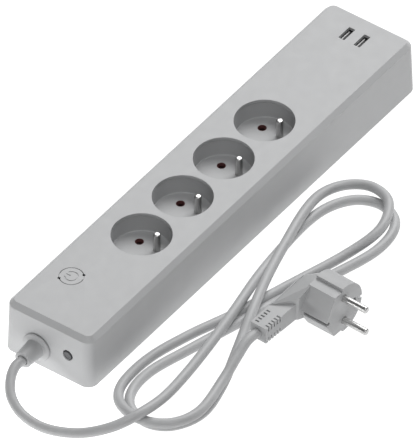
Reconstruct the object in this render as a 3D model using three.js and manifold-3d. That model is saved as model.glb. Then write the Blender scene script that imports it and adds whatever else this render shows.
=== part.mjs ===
// A four-outlet smart power strip with two USB ports, a power button, an overload reset
// button and a cord that ends in an angled plug. Millimetres, +Z up, the origin under the
// middle of the housing on the surface that its feet stand on, +X towards the USB ports.
import * as THREE from 'three';
import { mergeVertices } from 'three/addons/utils/BufferGeometryUtils.js';
import Module from 'manifold-3d';

const wasm = await Module();
wasm.setup();

// ---- Driving dimensions ----------------------------------------------------------------
const GAP = 0.3; // air between neighbouring pieces
const FOOT_LIFT = 1; // how far the feet hold the housing off the floor

// Housing
const BODY_LENGTH = 360;
const BODY_WIDTH = 70;
const BODY_HEIGHT = 41;
const CORNER_RADIUS = 7.2;
const WALL = 2.2;
const DRAFT = 1; // the walls lean in by this much at the foot of the chamfer
const CHAMFER_IN = 3.1;
const CHAMFER_DOWN = 3.6;

// Sockets
const SOCKET_COUNT = 4;
const SOCKET_PITCH = 45;
const FIRST_SOCKET_IN = 103.2; // from the cord's end of the housing
const RECESS_RADIUS = 20;
const RECESS_DEPTH = 15;
const INSERT_WALL = 1.8;
const INSERT_FLOOR = 3;
const PIN_SPACING = 19; // between the two pins of a plug
const PIN_RADIUS = 2.4;
const PIN_HOLE_RADIUS = 2.95;
const EARTH_OFFSET = 10;
const EARTH_PIN_HEIGHT = 14;
const EARTH_COLLAR = 1; // how far the collar under the floor stands out of the earth pin
const RIVET_RADIUS = 1.5;

// Shutters
const SHUTTER_THICKNESS = 2.2;
const SHUTTER_HALF_WIDTH = 3.6;
const POST_RADIUS = 2;
const SPRING_WIRE = 0.25;
const SPRING_TURNS = 2;
const SPRING_HEIGHT = 1.6;

// Contacts and bars
const STRIP_THICKNESS = 0.6;
const CONTACT_WIDTH = 6;
const CONTACT_HEIGHT = 14;
const EARTH_STRIP_WIDTH = 5;

// Power button
const BUTTON_IN = 44.5; // from the cord's end of the housing
const BUTTON_Y = 13;
const BUTTON_RADIUS = 8;
const BUTTON_THICKNESS = 2;
const STEM_RADIUS = 1.6;
const LED_RADIUS = 0.75;
const LED_ANGLES = [138, -47];

// Electronics
const BOARD_THICKNESS = 1.6;
const CONTROL_BOARD_IN = 52; // from the cord's end of the housing to the board's middle
const CONTROL_BOARD_LENGTH = 44;
const CONTROL_BOARD_BOTTOM = 8;
const BOARD_SIDE_SPACE = 7; // between the housing's side and the board's
const USB_BOARD_SIZE = { length: 26, width: 30, bottom: 23 };
const POST_SIZE = { radius: 2.5, inset: 4 };
// Boxes on the control board, placed from its middle.
const RELAY = { x: 12, y: -3, length: 18.5, width: 10.2, height: 15.2, pitch: 12 };
const TRANSFORMER = { x: -11.5, y: -17, length: 16, width: 18, height: 14 };
const CAPACITOR = { x: -3, y: 0, radius: 4.5, height: 14 };
const WIFI = { x: -10, y: 23, length: 17, width: 9, height: 2.8 };
const SWITCH = { side: 6, height: 4, bore: 2 };

// USB ports
const USB_IN = 22; // from the housing's far end
const USB_Y = 6.1;
const USB_SLOT_LENGTH = 12.3;
const USB_SLOT_WIDTH = 4.6;
const USB_SHELL_WALL = 0.4;
const USB_TONGUE = { length: 11.1, width: 1.8, down: 1.2, base: 1.6 };

// Overload reset
const RESET_Y = -16.2;
const RESET_Z = 20.4;
const RESET_HOLE_RADIUS = 3.8;
const RESET_RADIUS = 3.15;
const BREAKER = { length: 25, width: 11, height: 20, bore: 8 };

// Fastening
const SCREW_IN_X = 10; // from the housing's ends
const SCREW_IN_Y = 8.5; // from the housing's sides
const SCREW_RADIUS = 1.2;
const SCREW_LENGTH = 12;
const SCREW_HEAD_RADIUS = 2.8;
const SCREW_HEAD_HEIGHT = 0.9;
const BOSS_WALL = 2;
const FOOT_IN_X = 32;
const FOOT_IN_Y = 13;
const FOOT_RADIUS = 6;
const FOOT_SUNK = 0.5;

// Cord and strain relief
const CORD_DIAMETER = 6.8;
const RELIEF_Y = 8;
const RELIEF_Z = 15;
const RELIEF_LENGTH = 15.7;
const RELIEF_ROOT_RADIUS = 6.9;
const RELIEF_TIP_RADIUS = 6;
const COLLAR_RADIUS = 10.4;
const COLLAR_THICKNESS = 1.2;
const NECK_RADIUS = 5.6;
const CLAMP = { inward: 20, length: 8, width: 22, height: 6 };

// Plug
const PLUG_FACE = { x: -37, y: -132.4, turn: -2.5 }; // the middle of the face, and its turn in degrees
const PLUG_RADIUS = 18.5;
const PLUG_FACET = 16.2; // height of the flats beside the guide steps
const PLUG_BARREL = 21.5;
const ARM_REACH = 51.7;
const ARM_BACK = 29.5; // from the face to the arm's middle line
const ARM_WIDTH = 12.6;
const ARM_HEIGHT = 12.6;
const ELBOW_START = -36; // where the arm begins to swell into the barrel
const PLUG_PIN_LENGTH = 19;
const EARTH_SOCKET_RADIUS = 2.4;
const CLIP_WIDTH = 1.8;
const CLIP_THICKNESS = 0.8;
const CLIP_LENGTH = 17;
const CLIP_DEPTH = 3.4; // of the groove that each clip lies in
const CLIP_DROP = 1.5; // the clips lie this far below the plug's middle
const GRIP_SLOTS = 5;
const GRIP_PITCH = 2.85;
const GRIP_LENGTH = 1.2;
const EDGE_SLOT = { inward: 2.6, down: 3.8 }; // cut over the near edges
const FACE_SLOT = { from: 1.7, across: 2.9, depth: 2 }; // cut into the top and bottom, from the far edges

// The cord's route from the strain relief to the plug's arm: two turns of a long figure of
// eight that lies on the floor, with low humps where it passes over itself.
const CORD_ROUTE = [
  [-196, 8, 16], [-204, 8, 16], [-214, 4, 13.5], [-223, -4, 9.5], [-228, -17, 5.5],
  [-228, -35, 4.1], [-221, -56, 6.5], [-210, -74, 13.5], [-193, -84, 18.2], [-168, -85, 14.5],
  [-136, -80, 9.2], [-104, -76, 9.8], [-72, -71, 10.9], [-37, -63, 8], [-4, -57, 4], [27, -55, 3.7],
  [49, -58, 3.7], [65, -68, 3.7], [71, -83, 3.7], [66, -98, 3.7], [53, -106, 3.7],
  [31, -107, 3.7], [1, -99, 3.7], [-37, -86, 3.7], [-77, -75, 3.7], [-113, -65, 3.7],
  [-144, -57, 3.7], [-166, -58, 3.7], [-180, -67, 3.7], [-185, -84, 3.7], [-177, -99, 3.7],
  [-157, -107, 3.7], [-129, -102, 3.7], [-97, -91, 5.7], [-67, -81, 11], [-33, -69, 11.1],
  [-1, -60, 11], [31, -52, 10.4], [54, -49, 7.1], [70, -56, 6.6], [77, -71, 8.6],
  [72, -88, 10.9], [59, -98, 10.9], [41, -101, 9.1], [14, -93, 4.4], [-26, -81, 3.8],
  [-68, -69, 3.7], [-102, -57, 3.7], [-134, -49, 3.7], [-162, -49, 4.3], [-180, -57, 7.1],
  [-190, -72, 10.2], [-190, -89, 10.9], [-180, -103, 10.9], [-161, -109, 10.9],
  [-131, -104, 11], [-112, -101, 14.8], [-98, -99.4, 18.2], [-87.8, -99.9, 18.5],
];
const CORD_SIDES = 8;
const CORD_STEPS = 78;

// Sides of the round pieces: the recesses, then middling and small ones.
const LARGE = 32;
const MEDIUM = 16;
const SMALL = 12;

// ---- Sizes that follow from those ------------------------------------------------------
const CORD_END_X = -BODY_LENGTH / 2;
const COVER_UNDERSIDE = BODY_HEIGHT - WALL;
const RECESS_FLOOR = BODY_HEIGHT - RECESS_DEPTH;
const INSERT_BOTTOM = RECESS_FLOOR - INSERT_FLOOR;
const SHUTTER_TOP = INSERT_BOTTOM - GAP;
const SPRING_TOP = SHUTTER_TOP - SHUTTER_THICKNESS - GAP;
const CONTACT_BOTTOM = SPRING_TOP - GAP - CONTACT_HEIGHT;
const EARTH_STRIP_TOP = SPRING_TOP - SPRING_HEIGHT - GAP;
const BUTTON_X = CORD_END_X + BUTTON_IN;
const USB_X = BODY_LENGTH / 2 - USB_IN;
const SCREW_X = BODY_LENGTH / 2 - SCREW_IN_X;
const SCREW_Y = BODY_WIDTH / 2 - SCREW_IN_Y;
const FOOT_X = BODY_LENGTH / 2 - FOOT_IN_X;
const FOOT_Y = BODY_WIDTH / 2 - FOOT_IN_Y;
const CONTROL_BOARD = {
  x: CORD_END_X + CONTROL_BOARD_IN, length: CONTROL_BOARD_LENGTH,
  width: BODY_WIDTH - 2 * BOARD_SIDE_SPACE, bottom: CONTROL_BOARD_BOTTOM,
};
const USB_BOARD = { ...USB_BOARD_SIZE, x: USB_X };
const BOARD_TOP = CONTROL_BOARD.bottom + BOARD_THICKNESS;
const DIAGONAL = Math.SQRT1_2;

// ---- Colours ---------------------------------------------------------------------------
const FINISHES = {
  shell: [0xc6c8c9, 0.5, 0],
  insert: [0xb9bbbc, 0.5, 0],
  cord: [0xbcbdbf, 0.55, 0],
  dark: [0x26272a, 0.6, 0],
  button: [0x54565a, 0.5, 0],
  shutter: [0x4a2426, 0.5, 0],
  rubber: [0x6d6f72, 0.9, 0],
  nickel: [0xd6d7d8, 0.25, 1],
  brass: [0xc9a557, 0.35, 1],
  steel: [0xb4b6b8, 0.35, 1],
  board: [0x2f6b45, 0.6, 0],
  relay: [0x2b4f86, 0.5, 0],
  capacitor: [0x2c2d33, 0.4, 0],
};

function finish(name) {
  const [color, roughness, metalness] = FINISHES[name];
  return new THREE.MeshStandardMaterial({ color, roughness, metalness });
}

// ---- Shapes ----------------------------------------------------------------------------
function rod(radius, low, high, sides = MEDIUM) {
  const geometry = new THREE.CylinderGeometry(radius, radius, high - low, sides);
  return geometry.rotateX(Math.PI / 2).translate(0, 0, (low + high) / 2);
}

function block(length, width, low, high) {
  return new THREE.BoxGeometry(length, width, high - low).translate(0, 0, (low + high) / 2);
}

// Turns a profile of [radius, height] points about Z.
function turned(profile, sides = MEDIUM) {
  const points = profile.map(([radius, height]) => new THREE.Vector2(radius, height));
  return new THREE.LatheGeometry(points, sides).rotateX(Math.PI / 2);
}

function roundedRectangle(length, width, radius) {
  const x = length / 2 - radius;
  const y = width / 2 - radius;
  const shape = new THREE.Shape();
  shape.absarc(x, y, radius, 0, Math.PI / 2);
  shape.absarc(-x, y, radius, Math.PI / 2, Math.PI);
  shape.absarc(-x, -y, radius, Math.PI, 1.5 * Math.PI);
  shape.absarc(x, -y, radius, 1.5 * Math.PI, 2 * Math.PI);
  shape.closePath();
  return shape;
}

function slab(shape, low, high, curveSegments = 3) {
  const geometry = new THREE.ExtrudeGeometry(shape, {
    depth: high - low, bevelEnabled: false, curveSegments,
  });
  return geometry.translate(0, 0, low);
}

function polygon(points) {
  return new THREE.Shape(points.map(([x, y]) => new THREE.Vector2(x, y)));
}

function sweep(shape, path, steps) {
  return new THREE.ExtrudeGeometry(shape, {
    steps, bevelEnabled: false, extrudePath: path, curveSegments: 1,
  });
}

function ring(radius, sides) {
  const points = Array.from({ length: sides }, (_, i) => {
    const angle = (2 * Math.PI * (i + 0.5)) / sides;
    return [radius * Math.cos(angle), radius * Math.sin(angle)];
  });
  return polygon(points);
}

// ---- Joins and cuts --------------------------------------------------------------------
function solid(geometry) {
  const bare = geometry.index ? geometry.toNonIndexed() : geometry.clone();
  bare.deleteAttribute('normal');
  bare.deleteAttribute('uv');
  const merged = mergeVertices(bare, 1e-4);
  const vertProperties = new Float32Array(merged.attributes.position.array);
  const triVerts = new Uint32Array(merged.index.array);
  return new wasm.Manifold(new wasm.Mesh({ numProp: 3, vertProperties, triVerts }));
}

function cut(body, ...tools) {
  return tools.reduce((rest, tool) => rest.subtract(solid(tool)), body);
}

function join(body, ...additions) {
  return additions.reduce((whole, piece) => whole.add(solid(piece)), body);
}

function surface(body) {
  const { vertProperties, triVerts } = body.getMesh();
  const geometry = new THREE.BufferGeometry();
  geometry.setAttribute('position', new THREE.BufferAttribute(vertProperties, 3));
  geometry.setIndex(new THREE.BufferAttribute(triVerts, 1));
  geometry.computeVertexNormals();
  return geometry;
}

function piece(parent, name, shape, finishName, position = [0, 0, 0]) {
  const geometry = shape.isBufferGeometry ? shape : surface(shape);
  const mesh = new THREE.Mesh(geometry, finish(finishName));
  mesh.name = name;
  mesh.position.set(...position);
  parent.add(mesh);
  return mesh;
}

function corners(x, y) {
  return [[x, y], [x, -y], [-x, y], [-x, -y]];
}

function socketX(index) {
  return CORD_END_X + FIRST_SOCKET_IN + index * SOCKET_PITCH;
}

// ---- Housing ---------------------------------------------------------------------------
// Leans the walls of an upright geometry in, by DRAFT at the foot of the chamfer.
function lean(geometry) {
  const position = geometry.attributes.position;
  for (let i = 0; i < position.count; i += 1) {
    const inward = (DRAFT * position.getZ(i)) / (BODY_HEIGHT - CHAMFER_DOWN);
    position.setX(i, position.getX(i) * (1 - inward / (BODY_LENGTH / 2)));
    position.setY(i, position.getY(i) * (1 - inward / (BODY_WIDTH / 2)));
  }
  return geometry;
}

// The chamfered block of the housing, all of it moved in by inset, from its base up.
function housingBlock(inset) {
  const reach = 2 * CHAMFER_DOWN;
  const outline = roundedRectangle(BODY_LENGTH - 2 * inset, BODY_WIDTH - 2 * inset, CORNER_RADIUS - inset);
  const geometry = new THREE.ExtrudeGeometry(outline, {
    depth: BODY_HEIGHT - inset - CHAMFER_DOWN + reach,
    bevelThickness: CHAMFER_DOWN,
    bevelSize: CHAMFER_IN,
    bevelOffset: -CHAMFER_IN,
    bevelSegments: 1,
    curveSegments: 2,
  });
  lean(geometry.translate(0, 0, -reach));
  return cut(solid(geometry), block(2 * BODY_LENGTH, 2 * BODY_WIDTH, -3 * reach, 0));
}

function wallX(height) {
  return CORD_END_X + (DRAFT * height) / (BODY_HEIGHT - CHAMFER_DOWN);
}

function alongX(geometry) {
  return geometry.rotateY(Math.PI / 2);
}

function screwBosses() {
  const radius = SCREW_RADIUS + GAP + BOSS_WALL;
  return corners(SCREW_X, SCREW_Y).map(([x, y]) =>
    rod(radius, WALL + GAP, COVER_UNDERSIDE + WALL / 2, SMALL).translate(x, y, 0));
}

function screwPilots() {
  return corners(SCREW_X, SCREW_Y).map(([x, y]) =>
    rod(SCREW_RADIUS + GAP, 0, SCREW_LENGTH + 1, SMALL).translate(x, y, 0));
}

function ledPlaces() {
  const radius = BUTTON_RADIUS + GAP / 2;
  return LED_ANGLES.map((degrees) => {
    const angle = THREE.MathUtils.degToRad(degrees);
    return [BUTTON_X + radius * Math.cos(angle), BUTTON_Y + radius * Math.sin(angle)];
  });
}

function coverHoles() {
  const low = COVER_UNDERSIDE - WALL;
  const high = BODY_HEIGHT + WALL;
  const holes = [rod(BUTTON_RADIUS + GAP, low, high, LARGE).translate(BUTTON_X, BUTTON_Y, 0)];
  for (let i = 0; i < SOCKET_COUNT; i += 1) {
    holes.push(rod(RECESS_RADIUS, low, high, LARGE).translate(socketX(i), 0, 0));
  }
  for (const [x, y] of ledPlaces()) {
    holes.push(rod(LED_RADIUS + GAP, low, high, SMALL).translate(x, y, 0));
  }
  for (const side of [-1, 1]) {
    const slot = roundedRectangle(USB_SLOT_LENGTH, USB_SLOT_WIDTH, GAP);
    holes.push(slab(slot, low, high, 1).translate(USB_X, side * USB_Y, 0));
  }
  const through = 4 * WALL;
  const start = CORD_END_X - WALL;
  holes.push(alongX(rod(RESET_HOLE_RADIUS, 0, through)).translate(start, RESET_Y, RESET_Z));
  holes.push(alongX(rod(NECK_RADIUS + GAP, 0, through)).translate(start, RELIEF_Y, RELIEF_Z));
  return holes;
}

function topCover() {
  const shell = housingBlock(0).subtract(housingBlock(WALL));
  return cut(join(shell, ...screwBosses()), ...screwPilots(), ...coverHoles());
}

function screwCuts() {
  return corners(SCREW_X, SCREW_Y).flatMap(([x, y]) => [
    rod(SCREW_RADIUS + GAP, -1, WALL + 1, SMALL).translate(x, y, 0),
    rod(SCREW_HEAD_RADIUS + GAP, -1, SCREW_HEAD_HEIGHT + GAP, SMALL).translate(x, y, 0),
  ]);
}

function boardPosts(board) {
  const { radius, inset } = POST_SIZE;
  return corners(board.length / 2 - inset, board.width / 2 - inset).map(([x, y]) =>
    rod(radius, WALL / 2, board.bottom - GAP, SMALL).translate(board.x + x, y, 0));
}

function contactRibs() {
  const place = (PIN_SPACING / 2) * DIAGONAL;
  const ribs = [];
  for (let i = 0; i < SOCKET_COUNT; i += 1) {
    for (const side of [-1, 1]) {
      const rib = block(CONTACT_WIDTH, CONTACT_WIDTH, WALL / 2, CONTACT_BOTTOM - GAP);
      ribs.push(rib.translate(socketX(i) + side * place, side * place, 0));
    }
  }
  return ribs;
}

function basePlate() {
  const inset = WALL + GAP;
  const outline = roundedRectangle(BODY_LENGTH - 2 * inset, BODY_WIDTH - 2 * inset, CORNER_RADIUS - inset);
  const plate = join(
    solid(slab(outline, 0, WALL)),
    ...boardPosts(CONTROL_BOARD), ...boardPosts(USB_BOARD), ...contactRibs(),
  );
  const pockets = corners(FOOT_X, FOOT_Y).map(([x, y]) =>
    rod(FOOT_RADIUS + GAP, -1, FOOT_SUNK + GAP, SMALL).translate(x, y, 0));
  return cut(plate, ...screwCuts(), ...pockets);
}

function screw() {
  return turned([
    [0, 0.1], [SCREW_HEAD_RADIUS - 0.4, 0.1], [SCREW_HEAD_RADIUS, 0.4],
    [SCREW_HEAD_RADIUS, SCREW_HEAD_HEIGHT],
    [SCREW_RADIUS, SCREW_HEAD_HEIGHT], [SCREW_RADIUS, SCREW_LENGTH - 1.5], [0, SCREW_LENGTH],
  ], SMALL);
}

function foot() {
  const edge = 0.4;
  return turned([
    [0, -FOOT_LIFT], [FOOT_RADIUS - edge, -FOOT_LIFT], [FOOT_RADIUS, edge - FOOT_LIFT],
    [FOOT_RADIUS, FOOT_SUNK], [0, FOOT_SUNK],
  ], SMALL);
}

function addHousing(strip) {
  piece(strip, 'top_cover', topCover(), 'shell');
  piece(strip, 'base_plate', basePlate(), 'shell');
  corners(SCREW_X, SCREW_Y).forEach(([x, y], i) => {
    piece(strip, `base_screw_${i + 1}`, screw(), 'steel', [x, y, 0]);
  });
  corners(FOOT_X, FOOT_Y).forEach(([x, y], i) => {
    piece(strip, `foot_${i + 1}`, foot(), 'rubber', [x, y, 0]);
  });
}

// ---- Sockets ---------------------------------------------------------------------------
// The pins lie on the +X +Y diagonal, and the earth pin on the +X -Y diagonal.
function pinPlaces() {
  const place = (PIN_SPACING / 2) * DIAGONAL;
  return [[place, place], [-place, -place]];
}

function earthPlace() {
  return [EARTH_OFFSET * DIAGONAL, -EARTH_OFFSET * DIAGONAL];
}

function socketInsert() {
  const outer = RECESS_RADIUS + INSERT_WALL;
  const cup = turned([
    [0, INSERT_BOTTOM], [outer, INSERT_BOTTOM], [outer, COVER_UNDERSIDE - GAP],
    [RECESS_RADIUS, COVER_UNDERSIDE - GAP], [RECESS_RADIUS, RECESS_FLOOR], [0, RECESS_FLOOR],
  ], LARGE);
  const post = rod(POST_RADIUS, SPRING_TOP - SPRING_HEIGHT - GAP, RECESS_FLOOR - INSERT_FLOOR / 2, SMALL);
  const low = INSERT_BOTTOM - 1;
  const high = RECESS_FLOOR + 1;
  const holes = pinPlaces().map(([x, y]) => rod(PIN_HOLE_RADIUS, low, high).translate(x, y, 0));
  const [earthX, earthY] = earthPlace();
  holes.push(rod(PIN_RADIUS + GAP, low, high, SMALL).translate(earthX, earthY, 0));
  return cut(join(solid(cup), post), ...holes);
}

function earthPin() {
  const tip = RECESS_FLOOR + EARTH_PIN_HEIGHT;
  const collar = EARTH_STRIP_TOP + GAP;
  return turned([
    [0, EARTH_STRIP_TOP - STRIP_THICKNESS - 1], [RIVET_RADIUS, EARTH_STRIP_TOP - STRIP_THICKNESS - 1],
    [RIVET_RADIUS, collar], [PIN_RADIUS + EARTH_COLLAR, collar], [PIN_RADIUS + EARTH_COLLAR, collar + 1],
    [PIN_RADIUS, collar + 1], [PIN_RADIUS, tip - 1.5], [0.8 * PIN_RADIUS, tip - 0.5], [0, tip],
  ], SMALL);
}

function shutter() {
  const length = PIN_SPACING + 2 * SHUTTER_HALF_WIDTH;
  const bar = roundedRectangle(length, 2 * SHUTTER_HALF_WIDTH, SHUTTER_HALF_WIDTH - 0.1);
  const blade = slab(bar, SHUTTER_TOP - SHUTTER_THICKNESS, SHUTTER_TOP, 2).rotateZ(Math.PI / 4);
  return cut(solid(blade), rod(POST_RADIUS + GAP, 0, BODY_HEIGHT, SMALL));
}

class Coil extends THREE.Curve {
  constructor(radius, turns, low, high) {
    super();
    Object.assign(this, { radius, turns, low, high });
  }

  getPoint(t, target = new THREE.Vector3()) {
    const angle = 2 * Math.PI * this.turns * t;
    const height = this.low + (this.high - this.low) * t;
    return target.set(this.radius * Math.cos(angle), this.radius * Math.sin(angle), height);
  }
}

function shutterSpring() {
  const radius = POST_RADIUS + GAP + SPRING_WIRE;
  const low = SPRING_TOP - SPRING_HEIGHT + SPRING_WIRE;
  const path = new Coil(radius, SPRING_TURNS, low, SPRING_TOP - SPRING_WIRE);
  return sweep(ring(SPRING_WIRE, 4), path, 8 * SPRING_TURNS);
}

// A bent strip with two springy leaves that grip a plug's pin.
function contactClip() {
  const grip = PIN_RADIUS + 0.2;
  const base = CONTACT_BOTTOM;
  const top = base + CONTACT_HEIGHT;
  const outside = [[grip + STRIP_THICKNESS, base], [grip + STRIP_THICKNESS, base + 7],
    [grip + STRIP_THICKNESS - 0.3, top - 3.5], [grip + STRIP_THICKNESS + 0.5, top]];
  const inside = [[grip + 0.5, top], [grip - 0.3, top - 3.5], [grip, base + 7],
    [grip, base + STRIP_THICKNESS]];
  const right = [...outside, ...inside];
  const left = right.map(([x, z]) => [-x, z]).reverse();
  const strip = slab(polygon([...right, ...left]), -CONTACT_WIDTH / 2, CONTACT_WIDTH / 2);
  return strip.rotateX(Math.PI / 2);
}

function neutralBusbar() {
  const [, [x, y]] = pinPlaces();
  const first = socketX(0) + x;
  const length = (SOCKET_COUNT - 1) * SOCKET_PITCH + CONTACT_WIDTH;
  const strip = block(length, CONTACT_WIDTH, CONTACT_BOTTOM, CONTACT_BOTTOM + STRIP_THICKNESS);
  let bar = solid(strip.translate(first - CONTACT_WIDTH / 2 + length / 2, y, 0));
  for (let i = 0; i < SOCKET_COUNT; i += 1) {
    bar = join(bar, contactClip().translate(socketX(i) + x, y, 0));
  }
  return bar;
}

function earthBusbar() {
  const [x, y] = earthPlace();
  const tabWidth = 2 * (PIN_RADIUS + EARTH_COLLAR);
  const low = EARTH_STRIP_TOP - STRIP_THICKNESS;
  const far = y - PIN_RADIUS - EARTH_COLLAR - 1.5;
  const length = (SOCKET_COUNT - 1) * SOCKET_PITCH + tabWidth;
  const strip = block(length, EARTH_STRIP_WIDTH, low, EARTH_STRIP_TOP);
  let bar = solid(strip.translate(socketX(0) + x + (length - tabWidth) / 2, far - EARTH_STRIP_WIDTH / 2, 0));
  for (let i = 0; i < SOCKET_COUNT; i += 1) {
    const near = y + PIN_RADIUS + EARTH_COLLAR;
    const tab = block(tabWidth, near - far + 1, low, EARTH_STRIP_TOP);
    bar = join(bar, tab.translate(socketX(i) + x, (near + far - 1) / 2, 0));
    bar = cut(bar, rod(RIVET_RADIUS + GAP, 0, BODY_HEIGHT, SMALL).translate(socketX(i) + x, y, 0));
  }
  return bar;
}

function addSockets(strip) {
  const [[liveX, liveY]] = pinPlaces();
  const [earthX, earthY] = earthPlace();
  for (let i = 0; i < SOCKET_COUNT; i += 1) {
    const socket = new THREE.Group();
    socket.position.x = socketX(i);
    strip.add(socket);
    piece(socket, `socket_insert_${i + 1}`, socketInsert(), 'insert');
    piece(socket, `earth_pin_${i + 1}`, earthPin(), 'nickel', [earthX, earthY, 0]);
    piece(socket, `shutter_${i + 1}`, shutter(), 'shutter');
    piece(socket, `shutter_spring_${i + 1}`, shutterSpring(), 'steel');
    piece(socket, `live_contact_${i + 1}`, contactClip(), 'brass', [liveX, liveY, 0]);
  }
  piece(strip, 'neutral_busbar', neutralBusbar(), 'brass');
  piece(strip, 'earth_busbar', earthBusbar(), 'brass');
}

// ---- Power button and status lights ----------------------------------------------------
function powerButton() {
  const cap = rod(BUTTON_RADIUS, BODY_HEIGHT - BUTTON_THICKNESS, BODY_HEIGHT, LARGE);
  const stemEnd = BOARD_TOP + GAP + SWITCH.height - SWITCH.bore / 2;
  const stem = rod(STEM_RADIUS, stemEnd, BODY_HEIGHT - BUTTON_THICKNESS / 2, SMALL);
  const notches = ledPlaces().map(([x, y]) =>
    rod(LED_RADIUS + GAP, 0, 2 * BODY_HEIGHT, SMALL).translate(x - BUTTON_X, y - BUTTON_Y, 0));
  return cut(join(solid(cap), stem), ...notches);
}

function tactSwitch() {
  const bottom = BOARD_TOP + GAP;
  const top = bottom + SWITCH.height;
  const body = solid(block(SWITCH.side, SWITCH.side, bottom, top));
  return cut(body, rod(STEM_RADIUS + GAP, top - SWITCH.bore, top + 1, SMALL));
}

function addButton(strip) {
  piece(strip, 'power_button', powerButton(), 'shell', [BUTTON_X, BUTTON_Y, 0]);
  piece(strip, 'tact_switch', tactSwitch(), 'dark', [BUTTON_X, BUTTON_Y, 0]);
  ledPlaces().forEach(([x, y], i) => {
    const pipe = rod(LED_RADIUS, COVER_UNDERSIDE - WALL, BODY_HEIGHT - 0.1, SMALL);
    piece(strip, `status_light_${i + 1}`, pipe, 'dark', [x, y, 0]);
  });
}

// ---- Electronics -----------------------------------------------------------------------
function circuitBoard(board) {
  const outline = roundedRectangle(board.length, board.width, 1);
  return slab(outline, board.bottom, board.bottom + BOARD_THICKNESS, 1);
}

function boxOnBoard(part) {
  const low = BOARD_TOP + GAP;
  return slab(roundedRectangle(part.length, part.width, 0.8), low, low + part.height, 1);
}

// The place of a box that stands off the control board's middle by x and y.
function onBoard(x, y) {
  return [CONTROL_BOARD.x + x, y, 0];
}

function addElectronics(strip) {
  piece(strip, 'control_board', circuitBoard(CONTROL_BOARD), 'board', [CONTROL_BOARD.x, 0, 0]);
  for (let i = 0; i < SOCKET_COUNT; i += 1) {
    const y = RELAY.y + (i - (SOCKET_COUNT - 1) / 2) * RELAY.pitch;
    piece(strip, `relay_${i + 1}`, boxOnBoard(RELAY), 'relay', onBoard(RELAY.x, y));
  }
  piece(strip, 'transformer', boxOnBoard(TRANSFORMER), 'dark', onBoard(TRANSFORMER.x, TRANSFORMER.y));
  piece(strip, 'wifi_module', boxOnBoard(WIFI), 'board', onBoard(WIFI.x, WIFI.y));
  const low = BOARD_TOP + GAP;
  const can = rod(CAPACITOR.radius, low, low + CAPACITOR.height, SMALL);
  piece(strip, 'capacitor', can, 'capacitor', onBoard(CAPACITOR.x, CAPACITOR.y));
}

// ---- USB ports -------------------------------------------------------------------------
function usbShell() {
  const low = USB_BOARD.bottom + BOARD_THICKNESS + GAP;
  const high = COVER_UNDERSIDE - GAP;
  const length = USB_SLOT_LENGTH + 2 * USB_SHELL_WALL;
  const width = USB_SLOT_WIDTH + 2 * USB_SHELL_WALL;
  const tube = solid(slab(roundedRectangle(length, width, 0.6), low, high, 1));
  return cut(tube, slab(roundedRectangle(USB_SLOT_LENGTH, USB_SLOT_WIDTH, 0.3), 0, 2 * high, 1));
}

function usbTongue() {
  const low = USB_BOARD.bottom + BOARD_THICKNESS + GAP;
  const base = block(USB_SLOT_LENGTH - 2 * GAP, USB_SLOT_WIDTH - 2 * GAP, low, low + USB_TONGUE.base);
  const high = COVER_UNDERSIDE - USB_TONGUE.down;
  const tongue = block(USB_TONGUE.length, USB_TONGUE.width, low + USB_TONGUE.base / 2, high);
  const shift = USB_SLOT_WIDTH / 2 - 2 * GAP - USB_TONGUE.width / 2;
  return join(solid(base), tongue.translate(0, shift, 0));
}

function addUsb(strip) {
  piece(strip, 'usb_board', circuitBoard(USB_BOARD), 'board', [USB_BOARD.x, 0, 0]);
  [-1, 1].forEach((side, i) => {
    piece(strip, `usb_shell_${i + 1}`, usbShell(), 'dark', [USB_X, side * USB_Y, 0]);
    piece(strip, `usb_tongue_${i + 1}`, usbTongue(), 'shell', [USB_X, side * USB_Y, 0]);
  });
}

// ---- Overload breaker and its reset button ---------------------------------------------
function breakerStart() {
  return CORD_END_X + WALL + 2;
}

function breakerBody() {
  const box = new THREE.BoxGeometry(BREAKER.length, BREAKER.width, BREAKER.height);
  const body = solid(box.translate(breakerStart() + BREAKER.length / 2, RESET_Y, RESET_Z));
  const bore = alongX(rod(RESET_RADIUS + GAP, -1, BREAKER.bore));
  return cut(body, bore.translate(breakerStart(), RESET_Y, RESET_Z));
}

function resetButton() {
  const length = breakerStart() + BREAKER.bore / 2 - CORD_END_X;
  const edge = 0.4;
  const profile = [
    [0, 0], [RESET_RADIUS - edge, 0], [RESET_RADIUS, edge], [RESET_RADIUS, length], [0, length],
  ];
  return alongX(turned(profile));
}

function addBreaker(strip) {
  piece(strip, 'breaker_body', breakerBody(), 'dark');
  piece(strip, 'reset_button', resetButton(), 'button', [CORD_END_X, RESET_Y, RESET_Z]);
}

// ---- Strain relief and clamp -----------------------------------------------------------
function strainRelief() {
  const face = wallX(RELIEF_Z) - GAP;
  const inner = wallX(RELIEF_Z) + WALL + GAP;
  const profile = [
    [0, -RELIEF_LENGTH], [RELIEF_TIP_RADIUS - 0.5, -RELIEF_LENGTH], [RELIEF_TIP_RADIUS, 0.5 - RELIEF_LENGTH],
    [RELIEF_ROOT_RADIUS, -COLLAR_THICKNESS], [COLLAR_RADIUS - 0.5, -COLLAR_THICKNESS], [COLLAR_RADIUS, -0.5],
    [COLLAR_RADIUS, 0], [NECK_RADIUS, 0], [NECK_RADIUS, inner - face], [NECK_RADIUS + 2, inner - face],
    [NECK_RADIUS + 2, inner - face + 2], [0, inner - face + 2],
  ];
  return alongX(turned(profile)).translate(face, RELIEF_Y, RELIEF_Z);
}

function cordClamp() {
  const bar = solid(block(CLAMP.length, CLAMP.width, RELIEF_Z, RELIEF_Z + CLAMP.height));
  const notch = alongX(rod(CORD_DIAMETER / 2, -CLAMP.length, CLAMP.length, SMALL)).translate(0, 0, RELIEF_Z);
  return cut(bar, notch);
}

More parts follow.
